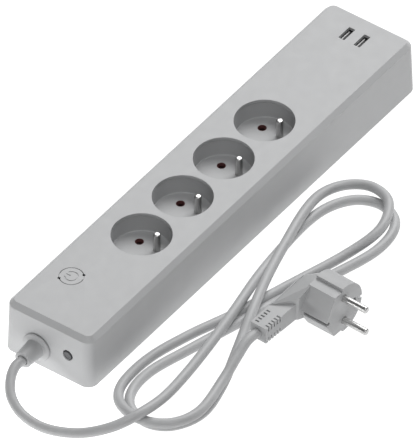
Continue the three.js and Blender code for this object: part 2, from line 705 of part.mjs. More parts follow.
function addRelief(strip) {
  piece(strip, 'strain_relief', strainRelief(), 'cord');
  piece(strip, 'cord_clamp', cordClamp(), 'dark', [CORD_END_X + CLAMP.inward, RELIEF_Y, 0]);
}

// ---- Cord ------------------------------------------------------------------------------
function cord() {
  const points = CORD_ROUTE.map(([x, y, z]) => new THREE.Vector3(x, y, z));
  const path = new THREE.CatmullRomCurve3(points, false, 'catmullrom', 0.5);
  return sweep(ring(CORD_DIAMETER / 2, CORD_SIDES), path, CORD_STEPS);
}

// ---- Plug ------------------------------------------------------------------------------
// In the plug's own frame the middle of its face is the origin, its pins point along -Y
// and its arm reaches to -X. Outlines below are drawn in X and Z, and stand along Y.
function alongY(shape, near, far, curveSegments = 6) {
  const geometry = slab(shape, -far, -near, curveSegments);
  return geometry.rotateX(Math.PI / 2);
}

// The barrel's outline: round on the side away from the arm, with a step at top and
// bottom down to flats on the arm's side.
function barrelOutline() {
  const stepX = -1.5;
  const angle = Math.acos(stepX / PLUG_RADIUS);
  const shape = new THREE.Shape();
  shape.absarc(0, 0, PLUG_RADIUS, -angle, angle);
  shape.lineTo(stepX, PLUG_FACET);
  shape.lineTo(-9.5, PLUG_FACET);
  shape.lineTo(-17.9, 0.4);
  shape.lineTo(-18.1, -3.4);
  shape.lineTo(-10.5, -PLUG_FACET);
  shape.lineTo(stepX, -PLUG_FACET);
  shape.closePath();
  return shape;
}

// The arm is level from its tip to the elbow. The elbow's top rises from there to the
// barrel's upper flat, while its underside stays nearly level as far as the barrel, and
// both fall away behind the barrel.
function arm() {
  const half = ARM_HEIGHT / 2;
  const front = ARM_BACK - ARM_WIDTH / 2;
  const back = ARM_BACK + ARM_WIDTH / 2;
  const behind = PLUG_BARREL - 1.5;
  const section = (x, top) => [[x, front, top], [x, back, top], [x, front, -half], [x, back, -half]];
  const start = section(ELBOW_START, half + 0.4);
  const top = [
    [-19.8, behind + 1.3, 11.3], [-9.5, behind, PLUG_FACET - 0.2], [6, behind, PLUG_FACET - 1],
    [15, behind, 10], [14, back - 10, 8], [8, back - 4, half - 0.3], [1.3, back - 0.4, half + 1.7],
  ];
  const bottom = [
    [-21.5, behind + 1.5, -half - 0.5], [-9.5, behind, -10], [6, behind, 1 - PLUG_FACET],
    [15, behind, -10], [14, back - 10, -8], [8, back - 4, 0.3 - half], [1.3, back - 0.4, -half - 0.7],
  ];
  const { hull } = wasm.Manifold;
  return hull([...section(-ARM_REACH, half - 0.1), ...start]).add(hull([...start, ...top, ...bottom]));
}

function slotBox(x, [near, far], [low, high]) {
  const slot = new THREE.BoxGeometry(GRIP_LENGTH, far - near, high - low);
  return slot.translate(x, (near + far) / 2, (low + high) / 2);
}

function gripCuts() {
  const half = ARM_HEIGHT / 2;
  const front = ARM_BACK - ARM_WIDTH / 2;
  const far = ARM_BACK + ARM_WIDTH / 2 - FACE_SLOT.from;
  const cuts = [];
  for (let i = 0; i < GRIP_SLOTS; i += 1) {
    const x = -ARM_REACH + GRIP_PITCH + i * GRIP_PITCH;
    for (const side of [-1, 1]) {
      const span = (low, high) => (side > 0 ? [low, high] : [-high, -low]);
      cuts.push(slotBox(x, [front - 1, front + EDGE_SLOT.inward], span(half - EDGE_SLOT.down, half + 1)));
      cuts.push(slotBox(x, [far - FACE_SLOT.across, far], span(half - FACE_SLOT.depth, half + 1)));
    }
  }
  return cuts;
}

function plugBody() {
  const barrel = solid(alongY(barrelOutline(), 0, PLUG_BARREL));
  const sockets = [
    rodAlongY(EARTH_SOCKET_RADIUS, -1, 16).translate(EARTH_OFFSET, 0, 0),
    rodAlongY(PIN_RADIUS + GAP, -1, 4).translate(0, 0, PIN_SPACING / 2),
    rodAlongY(PIN_RADIUS + GAP, -1, 4).translate(0, 0, -PIN_SPACING / 2),
  ];
  const grooves = [-1, 1].map((side) => {
    const groove = new THREE.BoxGeometry(2 * CLIP_DEPTH, 2 * CLIP_LENGTH + 4, CLIP_WIDTH + 2 * GAP);
    return groove.translate(side * PLUG_RADIUS, 0, -CLIP_DROP);
  });
  return cut(barrel.add(arm()), ...sockets, ...grooves, ...gripCuts());
}

function rodAlongY(radius, near, far) {
  return rod(radius, -far, -near, SMALL).rotateX(Math.PI / 2);
}

function plugPin() {
  const seat = 4 - GAP;
  const round = 1.6;
  const profile = [
    [0, -seat], [PIN_RADIUS, -seat], [PIN_RADIUS, PLUG_PIN_LENGTH - round],
    [0.75 * PIN_RADIUS, PLUG_PIN_LENGTH - 0.5], [0, PLUG_PIN_LENGTH],
  ];
  return turned(profile, SMALL).rotateX(Math.PI / 2);
}

function earthClip(side) {
  const floor = PLUG_RADIUS - CLIP_DEPTH;
  const clip = new THREE.BoxGeometry(CLIP_THICKNESS, CLIP_LENGTH, CLIP_WIDTH);
  return clip.translate(side * (floor + GAP + CLIP_THICKNESS / 2), CLIP_LENGTH / 2 + 1, -CLIP_DROP);
}

function earthSocket() {
  const outer = EARTH_SOCKET_RADIUS - GAP;
  const profile = [[0, -15], [outer, -15], [outer, -2], [outer - 0.5, -2], [outer - 0.5, -14], [0, -14]];
  return turned(profile, SMALL).rotateX(Math.PI / 2);
}

function addPlug(root) {
  const plug = new THREE.Group();
  plug.position.set(PLUG_FACE.x, PLUG_FACE.y, PLUG_RADIUS);
  plug.rotation.z = THREE.MathUtils.degToRad(PLUG_FACE.turn);
  root.add(plug);
  piece(plug, 'plug_body', plugBody(), 'cord');
  piece(plug, 'plug_pin_1', plugPin(), 'nickel', [0, 0, PIN_SPACING / 2]);
  piece(plug, 'plug_pin_2', plugPin(), 'nickel', [0, 0, -PIN_SPACING / 2]);
  piece(plug, 'plug_earth_clip_1', earthClip(-1), 'nickel');
  piece(plug, 'plug_earth_clip_2', earthClip(1), 'nickel');
  piece(plug, 'plug_earth_socket', earthSocket(), 'dark', [EARTH_OFFSET, 0, 0]);
}

// ---- The whole object ------------------------------------------------------------------
const powerStrip = new THREE.Group();
const strip = new THREE.Group();
strip.position.z = FOOT_LIFT;
powerStrip.add(strip);
addHousing(strip);
addSockets(strip);
addButton(strip);
addElectronics(strip);
addUsb(strip);
addBreaker(strip);
addRelief(strip);
piece(powerStrip, 'cord', cord(), 'cord');
addPlug(powerStrip);

export default powerStrip;
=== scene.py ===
import math

import bmesh
import bpy
from mathutils import Matrix, Vector


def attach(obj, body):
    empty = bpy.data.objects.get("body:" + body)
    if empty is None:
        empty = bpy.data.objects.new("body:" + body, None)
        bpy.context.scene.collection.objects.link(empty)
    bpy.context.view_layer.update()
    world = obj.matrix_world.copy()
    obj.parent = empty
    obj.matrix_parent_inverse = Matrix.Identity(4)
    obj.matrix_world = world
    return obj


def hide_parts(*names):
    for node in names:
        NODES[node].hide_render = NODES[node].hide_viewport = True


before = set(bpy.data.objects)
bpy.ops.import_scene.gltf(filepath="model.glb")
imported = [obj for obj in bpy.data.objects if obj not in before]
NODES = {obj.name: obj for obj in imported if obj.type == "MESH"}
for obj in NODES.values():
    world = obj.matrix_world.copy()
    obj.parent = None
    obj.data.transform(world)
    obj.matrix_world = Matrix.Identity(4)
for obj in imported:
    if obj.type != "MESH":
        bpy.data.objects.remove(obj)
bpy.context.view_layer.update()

# Lengths are in millimetres until a mesh is made, as in the CAD source.
MM = 0.001
LIFT = 1.0  # the feet hold the housing this far off the floor

# ---- Camera ----------------------------------------------------------------------------
TOWARDS_CAMERA = Vector((-0.5959, -0.4338, 0.6758))
AIM = Vector((-0.0039, 0.0005, 0.0010))
LENS = 1640  # so long that the view is nearly parallel
SENSOR_WIDTH = 36
VIEW_WIDTH = 0.28387  # in metres, at the object


def add_camera():
    data = bpy.data.cameras.new("camera")
    data.lens = LENS
    data.sensor_width = SENSOR_WIDTH
    data.clip_start = 1
    data.clip_end = 40
    camera = bpy.data.objects.new("camera", data)
    distance = VIEW_WIDTH * LENS / SENSOR_WIDTH
    camera.location = AIM + distance * TOWARDS_CAMERA.normalized()
    camera.rotation_euler = TOWARDS_CAMERA.to_track_quat("Z", "Y").to_euler()
    bpy.context.collection.objects.link(camera)
    bpy.context.scene.camera = camera


# ---- Mesh tools ------------------------------------------------------------------------
def make_object(name, vertices, faces):
    mesh = bpy.data.meshes.new(name)
    mesh.from_pydata([Vector(v) * MM for v in vertices], [], faces)
    mesh.update()
    piece = bpy.data.objects.new(name, mesh)
    bpy.context.collection.objects.link(piece)
    return piece


def loft(name, loops, ring=False):
    """A skin through loops of equally many points, with flat ends, or a ring that joins up with itself."""
    count = len(loops[0])
    vertices = [point for loop in loops for point in loop]
    faces = []
    for row in range(len(loops) if ring else len(loops) - 1):
        a, b = row * count, (row + 1) % len(loops) * count
        for i in range(count):
            j = (i + 1) % count
            faces.append((a + i, a + j, b + j, b + i))
    if not ring:
        faces.append(tuple(reversed(range(count))))
        faces.append(tuple(range(len(vertices) - count, len(vertices))))
    piece = make_object(name, vertices, faces)
    outward(piece)
    return piece


def lathe(name, profile, sides=64):
    """Turns (radius, height) points about Z, from an end on the axis to an end on the axis, or all round."""
    vertices, rows, faces = [], [], []
    for radius, height in profile:
        first = len(vertices)
        if radius < 1e-6:
            vertices.append((0, 0, height))
            rows.append([first])
            continue
        for i in range(sides):
            angle = 2 * math.pi * i / sides
            vertices.append((radius * math.cos(angle), radius * math.sin(angle), height))
        rows.append(list(range(first, first + sides)))
    pairs = list(zip(rows, rows[1:]))
    if profile[0][0] > 1e-6:
        pairs.append((rows[-1], rows[0]))
    for low, high in pairs:
        for i in range(sides):
            j = (i + 1) % sides
            if len(low) == 1:
                faces.append((low[0], high[j], high[i]))
            elif len(high) == 1:
                faces.append((low[i], low[j], high[0]))
            else:
                faces.append((low[i], low[j], high[j], high[i]))
    piece = make_object(name, vertices, faces)
    outward(piece)
    return piece


def outward(piece):
    """Turns every face of a closed mesh outwards."""
    work = bmesh.new()
    work.from_mesh(piece.data)
    bmesh.ops.recalc_face_normals(work, faces=work.faces)
    work.to_mesh(piece.data)
    work.free()


def soften(corners, steps=5, closed=False):
    """Rounds each (x, y, radius) corner of a line with an arc."""
    result = []
    count = len(corners)
    for i, (x, y, radius) in enumerate(corners):
        if radius == 0 or (not closed and i in (0, count - 1)):
            result.append((x, y))
            continue
        point = Vector((x, y))
        before = Vector(corners[i - 1][:2]) - point
        after = Vector(corners[(i + 1) % count][:2]) - point
        half = before.angle(after) / 2
        reach = min(radius / math.tan(half), 0.49 * before.length, 0.49 * after.length)
        radius = reach * math.tan(half)
        centre = point + (before.normalized() + after.normalized()).normalized() * radius / math.sin(half)
        start = point + before.normalized() * reach - centre
        end = point + after.normalized() * reach - centre
        for step in range(steps + 1):
            result.append(tuple(centre + radius * start.slerp(end, step / steps)))
    return result


def rounded_rectangle(length, width, radius, steps=8):
    x, y = length / 2, width / 2
    radius = max(radius, 0.02)
    return soften([(x, y, radius), (-x, y, radius), (-x, -y, radius), (x, -y, radius)], steps, True)


def applied(piece):
    """Makes a piece's modifiers part of its mesh."""
    graph = bpy.context.evaluated_depsgraph_get()
    mesh = bpy.data.meshes.new_from_object(piece.evaluated_get(graph))
    piece.modifiers.clear()
    old, piece.data = piece.data, mesh
    bpy.data.meshes.remove(old)
    return piece


def carve(piece, *tools, operation="DIFFERENCE"):
    for tool in tools:
        boolean = piece.modifiers.new("boolean", "BOOLEAN")
        boolean.operation = operation
        boolean.object = tool
    applied(piece)
    for tool in tools:
        mesh = tool.data
        bpy.data.objects.remove(tool)
        bpy.data.meshes.remove(mesh)
    return piece


def placed(piece, *matrices):
    for matrix in matrices:
        piece.data.transform(matrix)
    return piece


def moved(piece, x, y, z):
    return placed(piece, Matrix.Translation(Vector((x, y, z)) * MM))


def turned(piece, degrees, axis):
    return placed(piece, Matrix.Rotation(math.radians(degrees), 4, axis))


def bevelled(piece, width):
    """Rounds every edge sharper than 30 degrees."""
    bevel = piece.modifiers.new("bevel", "BEVEL")
    bevel.width = width * MM
    bevel.segments = 3
    bevel.limit_method = "ANGLE"
    bevel.angle_limit = math.radians(30)
    bevel.miter_outer = "MITER_ARC"
    return applied(piece)


def shade(piece, sharp=38):
    """Smooth shading that keeps flat faces flat and breaks at sharp edges."""
    mesh = piece.data
    for polygon in mesh.polygons:
        polygon.use_smooth = True
    mesh.set_sharp_from_angle(angle=math.radians(sharp))
    normals = piece.modifiers.new("normals", "WEIGHTED_NORMAL")
    normals.keep_sharp = True
    normals.weight = 80
    return applied(piece)


def block(name, length, width, low, high, radius=0.0, edge=0.0, steps=6):
    """An upright block on a rounded rectangle, with its top and bottom edges rounded by edge."""
    section = [(0, low), (0, high)]
    if edge > 0:
        section = soften([(edge * 2, low, 0), (0, low, edge), (0, high, edge), (edge * 2, high, 0)], 4)
    loops = []
    for inset, height in section:
        outline = rounded_rectangle(length - 2 * inset, width - 2 * inset, radius - inset, steps)
        loops.append([(x, y, height) for x, y in outline])
    return loft(name, loops)


def rod(name, radius, low, high, sides=48):
    return lathe(name, [(0, low), (radius, low), (radius, high), (0, high)], sides)


def flare_profile(low, high, flare, steps):
    """Pairs of outward step and height, up a straight wall and round a mouth that is rounded by flare."""
    profile = [(0, low)]
    for step in range(steps + 1):
        angle = math.radians(90 * step / steps)
        profile.append((flare * (1 - math.cos(angle)), high - flare * (1 - math.sin(angle))))
    return profile + [(flare, high + 2)]


def flared(name, radius, low, high, flare, sides=96):
    """A cutter for a round hole whose mouth, at high, is rounded by flare."""
    wall = [(radius + out, height) for out, height in flare_profile(low, high, flare, 5)]
    return lathe(name, [(0, low)] + wall + [(0, high + 2)], sides)


def flared_slot(name, length, width, radius, low, high, flare):
    """A cutter for a rounded slot whose mouth, at high, is rounded by flare."""
    loops = []
    for out, height in flare_profile(low, high, flare, 4):
        outline = rounded_rectangle(length + 2 * out, width + 2 * out, radius + out, 4)
        loops.append([(x, y, height) for x, y in outline])
    return loft(name, loops)


def tube(name, points, radius, sides):
    """A round wire along points that never rise straight up, with flat ends."""
    loops = []
    up = Vector((0, 0, 1))
    angles = [2 * math.pi * k / sides for k in range(sides)]
    for i, point in enumerate(points):
        ahead = Vector(points[min(i + 1, len(points) - 1)]) - Vector(points[max(i - 1, 0)])
        side = ahead.cross(up).normalized()
        rise = side.cross(ahead).normalized()
        loops.append([Vector(point) + radius * (math.cos(a) * side + math.sin(a) * rise) for a in angles])
    return loft(name, loops)


# ---- Materials -------------------------------------------------------------------------
class Nodes:
    """A small writer for node trees."""

    def __init__(self, name):
        self.material = bpy.data.materials.new(name)
        self.material.use_nodes = True
        self.tree = self.material.node_tree
        self.shader = self.tree.nodes["Principled BSDF"]
        self.place = self.add("ShaderNodeTexCoord").outputs["Object"]

    def add(self, kind, inputs=(), **settings):
        node = self.tree.nodes.new(kind)
        for key, value in settings.items():
            setattr(node, key, value)
        for key, value in dict(inputs).items():
            if isinstance(value, bpy.types.NodeSocket):
                self.tree.links.new(value, node.inputs[key])
            else:
                node.inputs[key].default_value = value
        return node

    def stretched(self, scale):
        return self.add("ShaderNodeMapping", {"Vector": self.place, "Scale": scale}).outputs["Vector"]

    def noise(self, scale, detail, vector=None):
        node = self.add("ShaderNodeTexNoise", {
            "Vector": vector or self.place, "Scale": scale, "Detail": detail, "Roughness": 0.55})
        return node.outputs["Fac"]

    def span(self, value, low, high, start=0.3, end=0.7):
        """Maps start to end onto low to high. Most noise lies between 0.3 and 0.7."""
        node = self.add("ShaderNodeMapRange", {
            "Value": value, "From Min": start, "From Max": end, "To Min": low, "To Max": high})
        return node.outputs["Result"]

    def mix(self, factor, a, b):
        node = self.add("ShaderNodeMix", data_type="RGBA")
        for socket, value in zip((node.inputs[0], node.inputs[6], node.inputs[7]), (factor, a, b)):
            if isinstance(value, bpy.types.NodeSocket):
                self.tree.links.new(value, socket)
            else:
                socket.default_value = value
        return node.outputs[2]

    def math(self, operation, a, b):
        return self.add("ShaderNodeMath", {0: a, 1: b}, operation=operation).outputs[0]

    def bump(self, height, distance, strength=1.0, below=None):
        inputs = {"Height": height, "Distance": distance * MM, "Strength": strength}
        if below:
            inputs["Normal"] = below
        return self.add("ShaderNodeBump", inputs).outputs["Normal"]

    def edges(self, low, high):
        """Goes from low to high on edges that stick out."""
        point = self.add("ShaderNodeNewGeometry").outputs["Pointiness"]
        return self.span(point, low, high, 0.505, 0.56)

    def finish(self, color, roughness, normal=None, **constants):
        self.tree.links.new(color, self.shader.inputs["Base Color"])
        self.tree.links.new(roughness, self.shader.inputs["Roughness"])
        if normal:
            self.tree.links.new(normal, self.shader.inputs["Normal"])
        for key, value in constants.items():
            self.shader.inputs[key.replace("_", " ")].default_value = value
        return self.material


FLOW_MARK = 0.015  # how far flow marks shift a plastic's tone


def shift(color, factor):
    """A lighter or darker colour."""
    return tuple(min(1.0, max(0.0, c * factor)) for c in color[:3]) + (1.0,)


def plastic(name, color, roughness, grain=0.45, depth=0.012, wear=0.10, specular=0.5):
    """Moulded plastic: a fine grain, soft flow marks, faint specks and edges rubbed a little lighter."""
    n = Nodes(name)
    flow = n.noise(60, 4, n.stretched((0.35, 1.0, 1.0)))
    base = n.mix(n.span(flow, 0, 1), shift(color, 1 - FLOW_MARK), shift(color, 1 + FLOW_MARK))
    speck = n.span(n.noise(2600, 1), 0, 1, 0.68, 0.78)
    base = n.mix(n.math("MULTIPLY", speck, 0.25), base, shift(color, 0.8))
    base = n.mix(n.edges(0, wear), base, shift(color, 1.35))
    rough = n.span(n.noise(160, 5), roughness - 0.05, roughness + 0.06)
    rough = n.math("ADD", rough, n.span(flow, -0.015, 0.015))
    normal = n.bump(n.noise(1000 / grain, 2), depth)
    normal = n.bump(flow, 0.03, 0.4, normal)
    return n.finish(base, rough, normal, Specular_IOR_Level=specular)


def rubber(name, color, roughness, depth=0.02, wear=0.15):
    """Soft sheath or foot: a matt skin with slight drag marks and scuffed edges."""
    n = Nodes(name)
    drag = n.noise(90, 5, n.stretched((0.6, 1.4, 1.0)))
    base = n.mix(n.span(drag, 0, 1), shift(color, 0.95), shift(color, 1.05))
    dust = n.span(n.noise(1400, 3), 0, 0.3, 0.55, 0.75)
    base = n.mix(dust, base, shift(color, 1.12))
    base = n.mix(n.edges(0, wear), base, shift(color, 1.4))
    rough = n.span(drag, roughness - 0.06, roughness + 0.06)
    normal = n.bump(n.noise(1700, 3), depth)
    normal = n.bump(drag, 0.06, 0.4, normal)
    return n.finish(base, rough, normal)


def metal(name, color, roughness, lines=(1, 1, 60)):
    """Drawn or turned metal: fine marks squeezed along the axes by lines, some tarnish and bright edges."""
    n = Nodes(name)
    fine = n.noise(900, 4, n.stretched(lines))
    spots = n.noise(240, 6)
    base = n.mix(n.span(fine, 0, 1), shift(color, 0.90), shift(color, 1.06))
    base = n.mix(n.span(spots, 0, 0.25, 0.5, 0.8), base, shift(color, 0.62))
    base = n.mix(n.edges(0, 0.4), base, shift(color, 1.3))
    rough = n.span(fine, roughness - 0.06, roughness + 0.08)
    rough = n.math("ADD", rough, n.span(spots, 0, 0.08, 0.5, 0.8))
    return n.finish(base, rough, n.bump(fine, 0.006), Metallic=1.0)


def board_finish(name):
    """Green solder mask over copper tracks, with bright pads."""
    n = Nodes(name)
    track = n.add("ShaderNodeTexBrick", {
        "Vector": n.place, "Scale": 260.0, "Mortar Size": 0.05, "Mortar Smooth": 0.2,
        "Color1": (0, 0, 0, 1), "Color2": (0.4, 0.4, 0.4, 1), "Mortar": (1, 1, 1, 1)}, offset=0.5)
    pads = n.add("ShaderNodeTexVoronoi", {"Vector": n.place, "Scale": 330.0, "Randomness": 0.35})
    base = n.mix(track.outputs["Color"], (0.012, 0.085, 0.038, 1), (0.03, 0.17, 0.075, 1))
    base = n.mix(n.span(n.noise(70, 3), 0, 0.5), base, (0.01, 0.07, 0.03, 1))
    pad = n.span(pads.outputs["Distance"], 1, 0, 0.17, 0.2)
    base = n.mix(pad, base, (0.62, 0.60, 0.55, 1))
    rough = n.span(pad, 0.38, 0.22, 0, 1)
    return n.finish(base, rough, n.bump(track.outputs["Fac"], 0.03, 0.6))


GREY = (0.475, 0.480, 0.486)
MATERIALS = {
    "shell": plastic("shell_satin", GREY, 0.46),
    # The socket cups take the shell grey made darker: painted shade for the recessed cups.
    "insert": plastic("socket_satin_shaded", shift(GREY, 0.93), 0.48),
    "plug_plastic": plastic("plug_moulding", shift(GREY, 0.94), 0.50, grain=0.6, depth=0.02),
    "cord_sheath": rubber("cord_sheath", shift(GREY, 0.93), 0.46, depth=0.012),
    "dark_plastic": plastic("dark_moulding", (0.022, 0.022, 0.025), 0.5, wear=0.3),
    "button_grey": plastic("reset_moulding", (0.075, 0.077, 0.082), 0.42, wear=0.3),
    "light_window": plastic(
        "light_window", (0.003, 0.003, 0.004), 0.5, depth=0.004, wear=0.05, specular=0.08),
    "shutter": plastic("shutter_moulding", (0.014, 0.006, 0.007), 0.55, wear=0.2, specular=0.15),
    "sleeve": plastic("sleeve_moulding", (0.11, 0.042, 0.042), 0.5, wear=0.5, specular=0.25),
    "foot_rubber": rubber("foot_rubber", (0.10, 0.10, 0.105), 0.8, depth=0.05, wear=0.3),
    "nickel": metal("nickel_plate", (0.56, 0.56, 0.555), 0.36),
    "brass": metal("brass_strip", (0.78, 0.56, 0.25), 0.32, lines=(1, 40, 1)),
    "steel": metal("zinc_steel", (0.58, 0.59, 0.61), 0.34, lines=(8, 8, 8)),
    "usb_metal": metal("tinned_shell", (0.16, 0.16, 0.165), 0.42, lines=(1, 1, 40)),
    "usb_plastic": plastic("usb_tongue", (0.78, 0.78, 0.78), 0.4),
    "circuit_board": board_finish("solder_mask"),
    "relay_case": plastic("relay_case", (0.03, 0.09, 0.27), 0.28, depth=0.006, wear=0.3),
    "capacitor_can": plastic("capacitor_sleeve", (0.016, 0.017, 0.021), 0.25, depth=0.005, wear=0.3),
}


def dress(piece, slot_name, body="root", nodes=(), material=None):
    """Gives a finished piece its material, its body and the CAD nodes that it stands for."""
    shade(piece)
    piece.data.materials.clear()
    piece.data.materials.append(MATERIALS[material or slot_name])
    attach(piece, body)
    if nodes:
        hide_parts(*nodes)
    return piece


# ---- Cord ------------------------------------------------------------------------------
CORD_DIAMETER = 6.8
CORD_ROUTE = [
    (-196, 8, 16), (-204, 8, 16), (-214, 4, 13.5), (-223, -4, 9.5), (-228, -17, 5.5),
    (-228, -35, 4.1), (-221, -56, 6.5), (-210, -74, 13.5), (-193, -84, 18.2), (-168, -85, 14.5),
    (-136, -80, 9.2), (-104, -76, 9.8), (-72, -71, 10.9), (-37, -63, 8), (-4, -57, 4), (27, -55, 3.7),
    (49, -58, 3.7), (65, -68, 3.7), (71, -83, 3.7), (66, -98, 3.7), (53, -106, 3.7),
    (31, -107, 3.7), (1, -99, 3.7), (-37, -86, 3.7), (-77, -75, 3.7), (-113, -65, 3.7),
    (-144, -57, 3.7), (-166, -58, 3.7), (-180, -67, 3.7), (-185, -84, 3.7), (-177, -99, 3.7),
    (-157, -107, 3.7), (-129, -102, 3.7), (-97, -91, 5.7), (-67, -81, 11), (-33, -69, 11.1),
    (-1, -60, 11), (31, -52, 10.4), (54, -49, 7.1), (70, -56, 6.6), (77, -71, 8.6),
    (72, -88, 10.9), (59, -98, 10.9), (41, -101, 9.1), (14, -93, 4.4), (-26, -81, 3.8),
    (-68, -69, 3.7), (-102, -57, 3.7), (-134, -49, 3.7), (-162, -49, 4.3), (-180, -57, 7.1),
    (-190, -72, 10.2), (-190, -89, 10.9), (-180, -103, 10.9), (-161, -109, 10.9),
    (-131, -104, 11), (-112, -101, 14.8), (-98, -99.4, 18.2), (-87.8, -99.9, 18.5),
]


def add_cord():
    points = [Vector(p) * MM for p in CORD_ROUTE]
    data = bpy.data.curves.new("cord_sheath", "CURVE")
    data.dimensions = "3D"
    data.bevel_depth = CORD_DIAMETER / 2 * MM
    data.bevel_resolution = 8
    data.resolution_u = 8
    data.use_fill_caps = True
    spline = data.splines.new("BEZIER")
    spline.bezier_points.add(len(points) - 1)
    last = len(points) - 1
    for i, (knot, point) in enumerate(zip(spline.bezier_points, points)):
        before = points[i - 1] if i else 2 * points[0] - points[1]
        after = points[i + 1] if i < last else 2 * points[last] - points[last - 1]
        slope = (after - before) / 6
        knot.handle_left_type = knot.handle_right_type = "FREE"
        knot.co, knot.handle_left, knot.handle_right = point, point - slope, point + slope
    cord = bpy.data.objects.new("mains_cord", data)
    bpy.context.collection.objects.link(cord)
    data.materials.append(MATERIALS["cord_sheath"])
    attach(cord, "root")
    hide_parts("cord")
    return cord


# ---- Housing ---------------------------------------------------------------------------
LENGTH, WIDTH, HEIGHT, WALL = 360, 70, 41, 2.2
CORNER, DRAFT, CHAMFER_IN, CHAMFER_DOWN = 7.2, 1.0, 3.1, 3.6
FOOT = HEIGHT - CHAMFER_DOWN
SOCKETS = [-76.8 + 45 * i for i in range(4)]
RECESS = 20
RECESS_FLOOR = HEIGHT - 15
BUTTON, BUTTON_RADIUS = (-135.5, 13), 8.15
LED_ANGLES = (138, -47)
LEDS = [(BUTTON[0] + BUTTON_RADIUS * math.cos(math.radians(a)),
         BUTTON[1] + BUTTON_RADIUS * math.sin(math.radians(a))) for a in LED_ANGLES]
USB_X, USB_Y, USB_LOW = 158, 6.1, 24.9
RESET = (-16.2, 20.4)
RELIEF = (8, 15)  # across and up the end face, as for the reset button
SCREWS = [(x, y) for x in (170, -170) for y in (26.5, -26.5)]
FEET = [(x, y) for x in (148, -148) for y in (22, -22)]
PIN_SPACING, PIN_RADIUS, EARTH_OFFSET = 19, 2.4, 10
DIAGONAL = math.sqrt(0.5)  # the sockets are turned by 45 degrees
EARTH = (EARTH_OFFSET * DIAGONAL, -EARTH_OFFSET * DIAGONAL)
PINS = [(side * PIN_SPACING / 2 * DIAGONAL, side * PIN_SPACING / 2 * DIAGONAL) for side in (1, -1)]


def body_loops(section, inset):
    """Loops round the housing at each inward step and height, for a wall that lies inset from its outside."""
    loops = []
    for inward, height in section:
        radius = CORNER - inset - max(0.0, inward - inset - DRAFT)
        outline = rounded_rectangle(LENGTH - 2 * inward, WIDTH - 2 * inward, radius, 10)
        loops.append([(x, y, height) for x, y in outline])
    return loops


def top_cover():
    outer = soften([
        (1.0, 0, 0), (0, 0, 0.3), (DRAFT, FOOT, 0.8), (DRAFT + CHAMFER_IN + 0.05, HEIGHT, 0.7),
        (12, HEIGHT, 0)], 6)
    inner = [(WALL, 0), (WALL + 0.94, FOOT - WALL), (WALL + 4.1, HEIGHT - WALL)]
    skin = loft("cover", body_loops(outer[1:-1], 0))
    hollow = loft("hollow", body_loops([(WALL, -1)] + inner, WALL))
    bosses = [moved(rod("boss", 3.5, WALL + 0.3, HEIGHT - WALL / 2), x, y, 0) for x, y in SCREWS]
    pilots = [moved(rod("pilot", 1.5, 0, 13), x, y, 0) for x, y in SCREWS]
    carve(skin, hollow)
    carve(skin, *bosses, operation="UNION")
    holes = [moved(flared("hole", RECESS, 30, HEIGHT, 0.35), x, 0, 0) for x in SOCKETS]
    holes.append(moved(flared("hole", 8.3, 30, HEIGHT, 0.2), *BUTTON, 0))
    holes += [moved(rod("hole", 1.0, 30, 50, sides=24), x, y, 0) for x, y in LEDS]
    for side in (-1, 1):
        holes.append(moved(flared_slot("slot", 12.3, 4.6, 0.35, 30, HEIGHT, 0.25), USB_X, side * USB_Y, 0))
    mouth = math.degrees(math.atan(DRAFT / FOOT))
    for (y, z), radius, flare in ((RESET, 3.8, 0.45), (RELIEF, 5.9, 0.2)):
        hole = turned(flared("hole", radius, -8, 0, flare, 64), -90 + mouth, "Y")
        holes.append(moved(hole, -LENGTH / 2 + DRAFT * z / FOOT, y, z))
    carve(skin, *pilots, *holes)
    return moved(skin, 0, 0, LIFT)


def base_plate():
    inset = WALL + 0.3
    plate = block("base", LENGTH - 2 * inset, WIDTH - 2 * inset, 0, WALL, CORNER - inset, 0.35)
    joins = []
    for board_x, length, width, bottom in ((-128, 44, 56, 8), (USB_X, 26, 30, 23)):
        for sx in (-1, 1):
            for sy in (-1, 1):
                post = rod("post", 2.5, WALL / 2, bottom - 0.3, sides=32)
                joins.append(moved(post, board_x + sx * (length / 2 - 4), sy * (width / 2 - 4), 0))
    for x in SOCKETS:
        for px, py in PINS:
            joins.append(moved(block("rib", 6, 6, WALL / 2, 5.5, 0.4), x + px, py, 0))
    carve(plate, *joins, operation="UNION")
    cuts = [moved(rod("pocket", 6.3, -1, 0.8), x, y, 0) for x, y in FEET]
    for x, y in SCREWS:
        cuts.append(moved(rod("bore", 1.5, -1, 4, sides=32), x, y, 0))
        cuts.append(moved(rod("seat", 3.1, -1, 1.2, sides=40), x, y, 0))
    carve(plate, *cuts)
    return moved(plate, 0, 0, LIFT)


def screw(name):
    profile = soften([
        (0, 0.1, 0), (2.45, 0.1, 0.3), (2.8, 0.45, 0.2), (2.8, 0.9, 0), (1.2, 0.9, 0), (1.2, 10.5, 0),
        (0, 12, 0)], 4)
    piece = lathe(name, profile, 40)
    arms = [turned(block("arm", 0.55, 3.2, -1, 0.6), angle, "Z") for angle in (0, 90)]
    return carve(piece, *arms)


def foot(name):
    profile = soften([(0, -LIFT, 0), (5.6, -LIFT, 0), (6, -0.55, 0.2), (6, 0.5, 0), (0, 0.5, 0)], 4)
    piece = lathe(name, profile, 64)
    grooves = []
    for radius in (1.8, 3.2, 4.5):
        section = [(radius, -1.3), (radius + 0.5, -1.3), (radius + 0.5, -0.8), (radius, -0.8)]
        grooves.append(lathe("groove", section, 64))
    return carve(piece, *grooves)


def add_housing():
    dress(top_cover(), "shell", nodes=["top_cover"]).name = "cover_shell"
    dress(base_plate(), "shell", nodes=["base_plate"]).name = "base_tray"
    for i, (x, y) in enumerate(SCREWS, 1):
        dress(moved(screw(f"cross_screw_{i}"), x, y, LIFT), "steel", nodes=[f"base_screw_{i}"])
    for i, (x, y) in enumerate(FEET, 1):
        dress(moved(foot(f"rubber_foot_{i}"), x, y, LIFT), "foot_rubber", nodes=[f"foot_{i}"])


